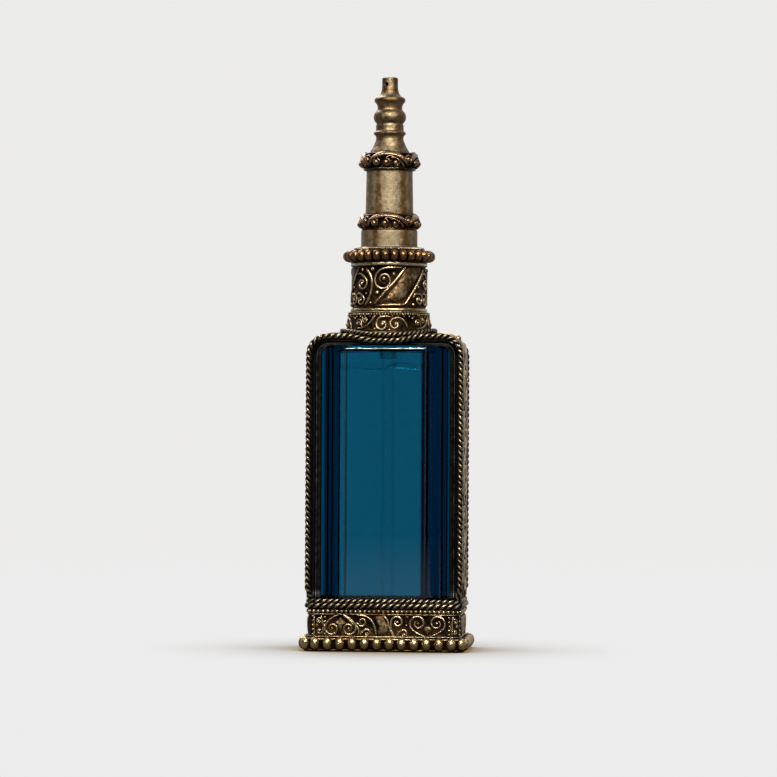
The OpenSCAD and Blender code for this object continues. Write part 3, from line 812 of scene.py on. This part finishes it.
def bezels():
    """Blackened frames between the strap and the glass: a deep channel, a crease and a sloping lip. Their heights paint
    shade and highlights: the channel black, the crease and the top shoulders bright.
    """
    for node, side in (("bezel_front", -1), ("bezel_back", 1)):
        lo, hi = box(node)
        hw, top, foot = hi[0], hi[2], lo[2] - FOOT_REACH
        outer, inner = 10.5, 7.9  # depths from the middle plane
        rows = [  # inset at the sides and at the top, bend radius, depth, height
            (0, 0, 3.6, outer, 0.15), (0.02, 0.02, 3.58, 8.9, 0.0), (0.1, 0.1, 3.5, 8.35, 0.0),
            (0.75, 0.3, 3.2, 8.1, 0.05), (1.1, 0.4, 3.0, 8.2, 0.1), (1.2, 0.65, 2.9, 8.36, 1.3),
            (1.32, 0.7, 2.8, 8.2, 0.3), (1.7, 0.8, 2.7, 8.1, 0.3), (2.05, 0.95, 2.5, 8.14, 0.42),
            (2.33, 1.15, 2.4, inner + 0.12, 0.45), (2.36, 1.18, 2.38, inner, 0.2),
            (0.3, 0.3, 3.4, inner - 0.02, 0.0), (0.3, 0.3, 3.4, outer, 0.1),
        ]
        rings = [arch_path(hw - a, top - b, r, side * y, foot) for a, b, r, y, _ in rows]
        heights = np.array([h for *_, h in rows])
        x, z = np.abs(rings[0][:, :1]), rings[0][:, 2:]  # painted highlight: the shoulders at the top are lighter
        shoulder_highlight = np.clip((z - foot) / (top - foot) * 12 - 11, 0, 1) * np.clip((x - 6) / 3, 0, 1)
        heights = np.where(heights > 0.25, heights * 0.5 + 0.45 * shoulder_highlight, heights)
        shape = Shape()
        shape.skin(np.transpose(rings, (1, 0, 2)), heights=heights)
        shape.make(node + "_sheet", DARK, "dark_metal", node)


def edge_ropes(bend=4.5, dip=1.05, dip_reach=9, dip_run=6, tuck=0.9, tuck_rise=2, pitch=2.9):
    """Twisted wires along the edges of the casing: they dip by the neck, and tuck in at their feet."""
    for node in ("edge_rope_front", "edge_rope_back"):
        lo, hi = box(node)
        r = (hi[1] - lo[1]) / 2
        hw, y, top = hi[0] - r, (lo[1] + hi[1]) / 2, hi[2] - r
        path = arch_path(hw, top, bend, y, lo[2] - FOOT_REACH)
        share = np.clip((dip_reach - np.abs(path[:, 0])) / dip_run, 0, 1)
        path[:, 2] -= dip * (1 - np.cos(math.pi * share)) / 2
        low = np.clip((lo[2] + tuck_rise - path[:, 2]) / (tuck_rise + FOOT_REACH), 0, 1)[:, None]
        path[:, :2] -= tuck * low**2 * np.sign(path[:, :2])
        twisted_wire(node, path, r, pitch, (0, 1, 0))


def neck_rope(r=0.6, gap=0.05, pitch=2.35):
    """Twisted wire round the neck, which follows the vault."""
    hi = box("neck_rope")[1]
    axis_z = hi[2] - 2 * r - gap - VAULT_R
    plan = round_plan(hi[0] - r)
    path = level(plan, axis_z + np.sqrt(VAULT_R**2 - plan[:, 1] ** 2) + r + gap)
    twisted_wire("neck_rope", path, r, pitch, closed=True)


def neck_foot(tall=5.0, lean=-0.35 / 3.8, bed=-0.3, motifs=4, grains=88):
    """Cone at the foot of the neck: paired scrolls under a row of grains."""
    hi = box("neck_base_ring")[1]
    band = round_band(hi[0] - 0.18, hi[2] - tall, lean)
    section = [
        (-0.9, -0.8, 0), (-0.9, -0.1, 0.4), (0.0, -0.1, 0.5), (0.25, bed, 0.05), (tall / 2, bed, 0.1),
        (tall - 0.4, bed, 0.05), (tall - 0.25, 0.0, 0.7), (tall - 0.05, 0.02, 0.9), (tall, -0.2, 0.8),
        (tall, -2.6, 0.5), (tall - 0.5, -2.6, 0.2), (tall - 0.5, -0.9, 0),
    ]
    relief = Relief(band, section, bed, 0.55)
    left = scroll([(1.0, tall - 1.5), (-0.6, tall - 1.2), (-2.4, tall - 1.5)], curl(-1.7, 1.9, 1.6, 150, 1.05))
    right = scroll([(4.9, 0.7), (4.2, 2.4), (2.6, tall - 1.5)], curl(1.6, 1.9, 1.45, 95, 1.05))
    joint = curve([(-3.6, tall - 0.9), (-4.8, 2.4), (-6.8, 1.1), (-9.0, 0.9)])
    for k in range(motifs):
        relief.at = k * band.length / motifs + 0.9
        for path in (left, right, joint):
            relief.line(path)
        relief.swirl(8.0, 2.3, 1.3, -1)
        relief.swirl(-6.4, 3.0, 1.1, 1, -1)
        for u, v, size in ((-1.6, 1.9, 0.5), (1.7, 1.9, 0.5), (6.4, 3.4, 0.3), (-3.6, 0.8, 0.28), (0.1, 0.5, 0.28)):
            relief.dot(u, v, size)
    relief.at = 0.0
    for k in range(grains):
        relief.dot(band.length * k / grains, tall - 0.65, 0.27)
        if k % 2 == 0:
            relief.dot(band.length * (k + 0.5) / grains, tall - 1.15, 0.2)
    relief.make("neck_foot_scrolls", SILVER, "antique_metal", "neck_base_ring")


def neck_collar(bed=-0.32, motifs=3):
    """Embossed collar: a spiral beside a slanting stained leaf, between plain rims."""
    lo, hi = box("neck_collar")
    tall = hi[2] - lo[2]
    band = round_band(hi[0] - 0.15, lo[2])
    rim = [(0, -0.55, 0.2), (0, 0.05, 0.8), (0.18, 0.15, 1), (0.62, 0.15, 1), (0.85, 0.02, 0.5), (1.0, bed, 0.02)]
    section = rim + [(tall / 3, bed, 0.1), (tall * 2 / 3, bed, 0.1)] + mirrored(rim, tall)
    relief = Relief(band, section, bed, rise=0.5)
    hook = [
        (3.4, 10.7), (1.0, 10.7), (-1.2, 10.5), (-2.7, 9.7), (-3.5, 8.2), (-3.3, 6.6), (-2.2, 5.7), (-0.9, 5.7),
        (0.1, 6.6), (0.2, 7.9), (-0.5, 8.9), (-1.6, 8.9), (-2.3, 8.2), (-2.1, 7.3), (-1.4, 7.0),
    ]
    vein = [(-4.0, 1.7), (-2.5, 3.1), (-0.9, 4.9), (0.4, 6.2), (1.6, 7.5), (2.7, 8.9), (3.6, 10.0), (4.2, 10.9)]
    border = [(-3.7, 1.35), (0, 1.6), (3.0, 1.65), (4.2, 2.0), (5.0, 3.1), (6.8, 5.4), (8.4, 7.5)]
    border += [(9.8, 9.3), (10.8, 10.8)]
    leaf = [(-2.2, 2.1), (0.6, 2.2), (3.0, 2.3), (4.3, 3.3), (6.2, 5.8), (8.2, 8.4), (9.6, 10.6)]
    leaf += [(5.0, 10.7), (2.7, 7.9), (0.6, 5.2)]
    stem = [(-6.2, 10.6), (-4.9, 9.1), (-4.3, 7.2), (-4.5, 5.1), (-5.2, 3.2), (-6.5, 1.2)]
    grains = (
        (-4.1, 10.3, 0.52), (1.2, 9.1, 0.5), (-2.9, 4.6, 0.56), (-1.3, 8.0, 0.5), (-7.4, 6.9, 0.42), (-4.7, 2.1, 0.42),
        (-7.9, 2.8, 0.38), (8.6, 3.0, 0.42), (6.4, 1.7, 0.5), (-7.3, 10.2, 0.36), (-6.0, 4.4, 0.34), (8.2, 6.0, 0.36),
    )
    for k in range(motifs):
        relief.at = k * band.length / motifs + 0.8
        relief.line(curve(hook), 0.66)
        relief.line(curve(vein), 0.8, 0.62)
        relief.line(curve(border), 0.68, 0.58)
        relief.leaf(leaf, 0.34)
        relief.line(curve(stem), 0.8, 0.58)
        relief.line(scroll([(-9.2, 9.0), (-8.2, 9.4)], curl(-7.4, 6.9, 1.8, 75, -1.25)))
        relief.line(scroll([(-9.6, 4.0), (-8.6, 4.5)], curl(-7.9, 2.8, 1.4, 80, -1.2)), 0.5)
        relief.line(scroll([(6.4, 3.2), (7.2, 4.5)], curl(8.6, 3.0, 1.5, 120, -1.3)), 0.55)
        for u, v, size in grains:
            relief.dot(u, v, size)
    relief.make("neck_collar_scrolls", SILVER, "antique_metal", "neck_collar")


# ---- glass ----


def glass_ring(hw, hd, z, panel, corner_r=0.5, points=6):
    """Section of the bottle: panels front and back, two-step bevels beside them and thin flat edges."""
    quarter = [(panel, 9.7), (12.9, 7.5), (14.3, 6.9), (14.8, 6.1), (hw, 5.7)]
    corners = []
    for sx, sy in ((1, -1), (1, 1), (-1, 1), (-1, -1)):
        part = [(sx * min(x, hw - 0.01 * (4 - k)), sy * (min(y, hd) - 0.01 * k)) for k, (x, y) in enumerate(quarter)]
        corners += part if sx * sy < 0 else part[::-1]
    corners = np.array(corners)
    t = np.linspace(0, 1, points)[:, None]
    ring = []
    for k, c in enumerate(corners):
        ways = (corners[k - 1] - c, corners[(k + 1) % len(corners)] - c)
        p, q = (c + unit(way) * min(corner_r, 0.45 * np.linalg.norm(way)) for way in ways)
        ring.append((1 - t) ** 2 * p + 2 * t * (1 - t) * c + t * t * q)
    return level(np.vstack(ring), z)


def round_ring(ring, rx, ry, z):
    """The ring's points moved out to an ellipse."""
    return level(circle(np.arctan2(ring[:, 1] / ry, ring[:, 0] / rx)) * [rx, ry], z)


def cavity_ring(hw, hd, radius, guide):
    """Rounded rectangle with as many points as the guide ring, from the same direction on."""
    fine = resample(rounded_outline(hw, hd, radius), 0.05, closed=True)[0]
    ring = fine[np.round(np.arange(len(guide)) * len(fine) / len(guide)).astype(int)]
    turn = np.arctan2(ring[:, 1], ring[:, 0]) - math.atan2(guide[0, 1], guide[0, 0])
    return np.roll(ring, -np.argmin(np.abs(np.angle(np.exp(1j * turn)))), axis=0)


def bottle(panel=10.0, neck_r=6.5, bore_r=4.5, drift=-0.7):
    """Bottle in one skin: up the outside, over the lip, down the bore and round the cavity.

    panel is the half width of the flat panels, and drift how far the cavity sits off the middle.
    """
    lo, hi = box("glass_bottle")
    hw, hd, foot, top = hi[0], hi[1], lo[2], hi[2]
    body_top, round_r = 75.0, 3.0
    rings = []
    for inset, rise in ((1.0, 0), (0.3, 0.25), (0.0, 0.9)):
        rings.append(glass_ring(hw - inset, hd - inset, foot + rise, panel - inset / 2))
    rings += [glass_ring(hw, hd, z, panel) for z in np.linspace(foot + 6, 72.9, 10)]
    roll_z = (73.2, 73.32, 73.45, 73.65, 73.8, 73.95, 74.1, 74.25, 74.4, 74.6)
    roll_depth = (9.7, 9.68, 9.64, 9.58, 9.48, 9.2, 8.6, 7.9, 7.1, 6.4)
    for z, depth in zip(roll_z, roll_depth):
        rise = max(z - (body_top - round_r), 0)
        rings.append(glass_ring(hw - round_r + math.sqrt(round_r**2 - rise**2), depth, z, panel))
    base = rings[5]
    shoulder = [(12.0, 6.4, 74.85), (7.2, 6.9, 75.1), (6.6, 6.6, 75.7)]
    neck = [(neck_r, z) for z in np.linspace(76.5, top - 0.6, 12)]
    neck += [(neck_r - 0.15, top - 0.15), (neck_r - 0.5, top), (bore_r + 0.5, top), (bore_r + 0.1, top - 0.2)]
    neck += [(bore_r, z) for z in (top - 0.8, 84, 78, 74.5, 73.4)]
    rings += [round_ring(base, rx, ry, z) for rx, ry, z in shoulder + [(r, r, z) for r, z in neck]]

    cavity_top, cavity_foot = 73.0, 6.0
    hollow = cavity_ring(hw=9.8, hd=4.7, radius=0.9, guide=base)

    def inside(z, share=1.0):
        """The cavity's ring, drawn in towards the bore as share goes to 0."""
        bore = bore_r * unit(hollow)
        return level(bore + (hollow + [drift, 0] - bore) * share, z)

    roof = ((0.02, -0.1), (0.3, -0.02), (0.6, 0), (0.9, 0.02), (0.96, 0.1), (0.99, 0.25), (1, 0.5), (1, 1.2))
    rings += [inside(cavity_top - drop, share) for share, drop in roof]
    folds = ((70.2, 0, 0), (69.4, 0.6, 0), (69.2, 0.7, 0.3), (69.0, 0.7, 0.3), (68.8, 0.6, 0), (68.0, 0, 0))
    for z, bend, depth in folds:  # a faint wavy fold that the mould left high in the wall
        fold = inside(z)
        fold[:, 1] -= depth * np.sign(fold[:, 1])
        fold[:, 2] += bend * (np.sin(fold[:, 0] / 3.1) + 0.4 * np.sin(fold[:, 0] / 1.3))
        rings.append(fold)
    rings += [inside(z) for z in np.linspace(64, 12, 8)]
    for share, rise in ((1.0, 1.7), (0.98, 0.9), (0.93, 0.4), (0.85, 0.12), (0.5, 0.02), (0.05, 0.0)):
        rings.append(level(hollow * share + [drift, 0], cavity_foot + rise))
    shape = Shape()
    shape.skin(rings)
    shape.make("bottle_glass", GLASS, "blue_glass", "glass_bottle")


# ---- head ----


def flange(bore=6.15, count=30):
    """Ring of oval beads over the collar."""
    lo, hi = box("beaded_flange")
    mid, half = (lo[2] + hi[2]) / 2, (hi[2] - lo[2]) / 2
    ring_r = hi[0] - 1.35
    profile = [(bore, lo[2]), (ring_r - 1.0, lo[2]), (ring_r - 0.7, lo[2] + 0.25), (ring_r - 0.3, mid - 0.5)]
    profile += [(ring_r - 0.3, mid + 0.5), (ring_r - 0.7, hi[2] - 0.2), (ring_r - 1.2, hi[2]), (bore, hi[2])]
    shape = lathe(profile, heights=[0.2, 0.2, 0.1, 0.0, 0.0, 0.15, 0.5, 0.3])
    for a in TAU * (np.arange(count) + 0.5) / count:
        centre = (ring_r * math.cos(a), ring_r * math.sin(a), mid)
        shape.ball(centre, (1.32, 1.13, half * 0.99), facing(a), 0.4, rows=12, columns=20)
    shape.make("flange_beads", GADROON, "bronze_beads", "beaded_flange", body="closure")


def milled_ring(bore=7.05, teeth=92):
    lo, hi = box("milled_wire")
    r, low, top = hi[0] + 0.05, lo[2], hi[2]
    profile = [(bore, low), (r, low), (r, low + 0.35), (r - 0.16, top - 0.1), (r - 0.45, top), (bore, top)]
    shape = lathe(profile, teeth * 6, [0.2, 0.9, 0.9, 0.9, 0.8, 0.3], teeth, 0.34)
    shape.make("milled_edge", MILLED, "turned_brass", "milled_wire", body="closure")


def sleeve(bore=6.15):
    """Turned sleeve with fine grooves by its foot."""
    lo, hi = box("sleeve")
    r, low, top = hi[0], lo[2], hi[2]
    grooves = ((0, 0), (0, 0.5), (0.05, 0.62), (0, 0.74), (0, 0.95), (0.07, 1.05), (0.1, 1.2), (0.07, 1.35))
    grooves += ((0.1, 1.55), (0.08, 1.75))
    profile = [(bore, low)] + [(r - depth, low + rise) for depth, rise in grooves]
    profile += [(r - 0.09, z) for z in np.linspace(low + 2.4, top, 6)] + [(bore, top)]
    lathe(profile).make("sleeve_turned", BRASS, "turned_brass", "sleeve", body="closure")


def screw_cap(bore=7.35, hole=5.0, lid=0.75, ribs=60):
    lo, hi = box("screw_cap")
    r, low, top = hi[0], lo[2], hi[2]
    profile = [(bore, low), (r - 0.5, low), (r, low + 0.4), (r, top - 0.5), (r - 0.4, top), (hole, top)]
    profile += [(hole, top - lid), (bore, top - lid)]
    shape = lathe(profile, ribs * 6, 0.5, ribs, 0.22)
    shape.make("screw_cap_ribbed", WHITE, "white_plastic", "screw_cap", body="closure")


def scroll_ring(node, bore_r, body, phase, motifs=4, bulge=0.75, bed=-0.85):
    """Cast barrel-shaped ring: long breaking waves with three beaded eyes under each."""
    lo, hi = box(node)
    r, tall = hi[0], hi[2] - lo[2]
    band = round_band(r, lo[2])
    period = band.length / motifs
    rim = [(0, bore_r - r, 0), (0, -0.7, 0.2), (0.16, -0.42, 0.5), (0.4, -0.5, 0.4), (0.62, bed, 0.0)]
    relief = Relief(band, rim + [(tall / 2, bed, 0.0)] + mirrored(rim, tall), bed, 0.55, 0.9)
    crest = [(-0.47, 0.22), (-0.41, 0.54), (-0.24, 0.83), (-0.02, 0.92), (0.2, 0.84), (0.36, 0.6), (0.5, 0.2)]
    waves = (  # width, rise and the points of each line, in shares of the period and of the height
        (1.45, 0.95, crest),
        (0.8, 0.75, [(0.04, 0.72), (0.18, 0.64), (0.3, 0.42), (0.4, 0.12)]),
        (0.6, 0.8, [(-0.06, 0.56), (0.02, 0.78), (0.14, 0.72)]),
        (0.5, 0.6, [(-0.36, 0.1), (-0.1, 0.06), (0.14, 0.06), (0.3, 0.12)]),
    )
    eyes = ((-0.28, 0.4, 0.84), (-0.05, 0.37, 0.82), (0.17, 0.34, 0.76))
    for k in range(motifs):
        relief.at = (k + phase) * period
        for width, rise, points in waves:
            relief.line(curve(np.array(points) * [period, tall]), width, rise)
        for u, v, size in eyes:
            relief.line(curl(u * period, v * tall, 1.3, 80, -0.75))
            relief.dot(u * period, v * tall, size, 0.1)
        relief.line(curl(0.48 * period, 0.58 * tall, 1.2, 20, 0.95))
        relief.dot(0.48 * period, 0.58 * tall, 0.66, 0.15)
    for part in relief.points:
        reach = np.hypot(part[:, 0], part[:, 1])
        share = np.clip((part[:, 2] - lo[2]) / tall * 2 - 1, -1, 1)
        squeeze = 1 - np.where(reach > bore_r + 0.3, bulge * share**2 / reach, 0)
        part[:, :2] *= squeeze[:, None]
    relief.make(node + "_waves", COPPER, "copper_scrolls", node, body=body)


def spray_tube(bore=5.15, top_r=5.65):
    """Tube that tapers between the two cast rings."""
    lo, hi = box("spray_tube")
    r, start, end = hi[0], box("lower_scroll_ring")[1][2], box("upper_scroll_ring")[0][2]
    taper = [(r + (top_r - r) * (z - start) / (end - start), z) for z in np.linspace(start + 0.3, end, 16)]
    profile = [(bore, lo[2]), (r, lo[2]), (r, start)] + taper + [(top_r, hi[2]), (bore, hi[2])]
    lathe(profile).make("spray_tube_turned", BRASS, "turned_brass", "spray_tube", body="spray_head")


def finial(tip_r=1.95, bore=1.0):
    """Turned spire with a flat-cut tip, a bore and a spray hole in its side; heights are the CAD frame's."""
    lo, hi = box("finial")
    foot, top, ring_top = lo[2], hi[2], box("upper_scroll_ring")[1][2]
    skirt = [(4.95, ring_top + 0.1), (4.75, 121.9), (4.38, 122.5), (4.02, 123.15), (3.68, 124.0), (3.4, 124.65)]
    outline = [(5.0, foot), (5.0, ring_top)] + curve(skirt).tolist() + [(3.36, 125.0), (3.4, 125.5)]
    outline += arc(3.42, 126.3, 0.54, -70, 70, 10, 0.85) + [(3.42, 127.05), (3.38, 127.5), (3.4, 128.2)]
    outline += arc(1.95, 130.3, 2.03, -52, 52, 14) + [(3.08, 132.2), (3.03, 132.5), (3.05, 132.95), (3.24, 133.5)]
    outline += arc(3.22, 134.45, 0.6, -62, 62, 10, 1.2)
    outline += [(tip_r + 1.4 * (1 - math.sin(a)), 137.9 - 2.7 * math.cos(a)) for a in np.radians(np.arange(8, 91, 9))]
    outline += [(tip_r, 138.4), (tip_r, top - 0.18), (tip_r - 0.15, top), (0.35, top), (0.3, top - 1.2)]
    outline += [(bore, top - 1.25), (bore, foot)]
    shape = lathe(resample(outline, 0.22)[0], 144)
    piece = shape.make("finial_turned", SPIRE, "turned_brass", "finial", body="spray_head")
    drill(piece, 138.3, 21.0, 0.5)


def drill(piece, z, degrees, radius):
    """Cuts a round side hole from the outside into the bore; degrees are clockwise from the front."""
    out, side, up = np.array(facing(math.radians(-90 - degrees)))
    hole = circle(TAU * np.arange(24) / 24, radius) @ [side, up] + z * up
    shape = Shape()
    shape.skin([out * reach + hole for reach in (0.5, 3.0)])
    cutter = shape.make("drill", BRASS, "turned_brass", body="spray_head")
    cut = piece.modifiers.new("spray_hole", "BOOLEAN")
    cut.operation, cut.object, cut.solver = "DIFFERENCE", cutter, "EXACT"
    bpy.context.view_layer.update()
    ready = piece.evaluated_get(bpy.context.evaluated_depsgraph_get())
    mesh = bpy.data.meshes.new_from_object(ready)
    piece.modifiers.remove(cut)
    piece.data = mesh
    bpy.data.objects.remove(cutter)


def inner_parts():
    """The CAD nodes that stay: the pump and its small parts, in their own materials."""
    looks = {
        WHITE: ("stem_adapter", "stem"),
        NATURAL: ("pump_housing", "turret", "piston", "spring_seat"),
        STEEL: ("return_spring", "inlet_ball"),
        RUBBER: ("neck_gasket",),
        CLEAR: ("dip_tube",),
    }
    for material, nodes in looks.items():
        for node in nodes:
            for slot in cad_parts[node].material_slots:
                slot.link = "OBJECT"
                slot.material = material


for build in (base_plate, base_beads, base_band, base_grains, base_cup, base_ropes):
    build()
for build in (side_strap, bezels, edge_ropes, neck_rope, neck_foot, neck_collar):
    build()
for build in (bottle, screw_cap, flange, milled_ring, sleeve):
    build()
scroll_ring("lower_scroll_ring", 6.0, "closure", 0.0)
spray_tube()
scroll_ring("upper_scroll_ring", 5.68, "spray_head", 0.02)
finial()
inner_parts()

# ---- studio ----


def floor(radius=0.9, shade=0.84, reach=42.0, dim=0.4):
    """Pale matt disc that fades into the background, with a soft warm shadow round the foot."""
    look = surface("floor_cloth")
    fine = look.noise(1.2, 4)
    distance = look.add("ShaderNodeVectorMath", {"operation": "LENGTH"})
    look.put(distance, {0: look.coords})
    near = look.open_sky(reach, 12)
    pale = tuple(shade * (0.985 + 0.03 * k) for k in (0, 1))
    cloth = look.math("MULTIPLY", look.fit(fine, 0, 1, *pale), look.fit(look.straight(), 0, 1, dim, 1))
    warm = look.mix(look.fit(near, 0.46, 0.97), (150, 128, 88), (255, 255, 255))
    look.finish(
        Base_Color=(0, 0, 0, 1),
        Roughness=1.0,
        Specular_IOR_Level=0.0,
        Emission_Color=warm,
        Emission_Strength=cloth,
        Alpha=look.fit(distance.outputs["Value"], 0.35 * radius, 0.95 * radius, 1.0, 0.0),
    )
    b = bmesh.new()
    bmesh.ops.create_circle(b, cap_ends=True, radius=radius, segments=96)
    mesh = bpy.data.meshes.new("floor")
    b.to_mesh(mesh)
    b.free()
    mesh.materials.append(look.owner)
    disc = placed("floor", mesh)


def backdrop(seen=0.84, front_glow=0.5, ceiling_glow=0.65):
    """Even pale background. Metal reflects a lit ceiling and a glow from the front, with dark between."""
    world = bpy.data.worlds.new("studio")
    bpy.context.scene.world = world
    look = Look(world, "Generated")

    def ease(value, *spans):
        return look.fit(value, *spans, "SMOOTHSTEP")

    x, y, z = look.axes()
    front = look.math("MULTIPLY", ease(y, -0.96, -0.7, front_glow, 0.02), ease(y, -0.985, -0.965, 0.06, 1.0))
    sides = ease(look.math("MULTIPLY", x, x), 0.86, 0.98, 0.0, 0.5)
    glow = look.math("ADD", front, ease(y, 0.1, 0.8, 0.0, 0.7))
    glow = look.math("ADD", glow, look.math("ADD", sides, ease(z, 0.25, 0.85, 0.0, ceiling_glow)))
    pick = look.add("ShaderNodeMix")
    look.put(pick, {0: look.straight(), 2: glow, 3: seen})
    light = {"Color": (1, 0.995, 0.985, 1), "Strength": pick.outputs[0]}
    look.put(look.tree.nodes["Background"], light)


def area_light(name, place, target_z, size, power, colour):
    """Rectangular soft light aimed at the part's axis; size is its width and height in metres."""
    data = bpy.data.lights.new(name, "AREA")
    data.shape = "RECTANGLE"
    data.size, data.size_y = size
    data.energy, data.color = power, colour
    aim(placed(name, data), place, target_z)


def aim(thing, place, target_z, roll=0.0):
    """Puts a light or camera at place, looking at a height on the part's axis, in millimetres."""
    place, target = Vector(place) * MM, Vector((0, 0, target_z)) * MM
    turn = (target - place).to_track_quat("-Z", "Y").to_matrix().to_4x4()
    thing.matrix_world = Matrix.Translation(place) @ turn @ Matrix.Rotation(math.radians(roll), 4, "Z")


def camera(azimuth=5.0, distance=830.0, height=55.0, frame_width=190.4, look_z=63.8, roll=0.3):
    data = bpy.data.cameras.new("camera")
    data.sensor_width = 36
    data.lens = 36 * distance / frame_width
    data.clip_start = 0.01
    view = placed("camera", data)
    a = math.radians(azimuth)
    aim(view, (distance * math.sin(a), -distance * math.cos(a), height), look_z, roll)
    bpy.context.scene.camera = view


floor()
backdrop()
bpy.context.scene.view_settings.view_transform = "Standard"
area_light("key", (75, -560, 470), target_z=70, size=(0.44, 0.12), power=9.0, colour=(1, 0.98, 0.95))
area_light("back", (-260, 420, 560), target_z=60, size=(0.3, 0.3), power=3.0, colour=(1, 0.97, 0.92))
camera()
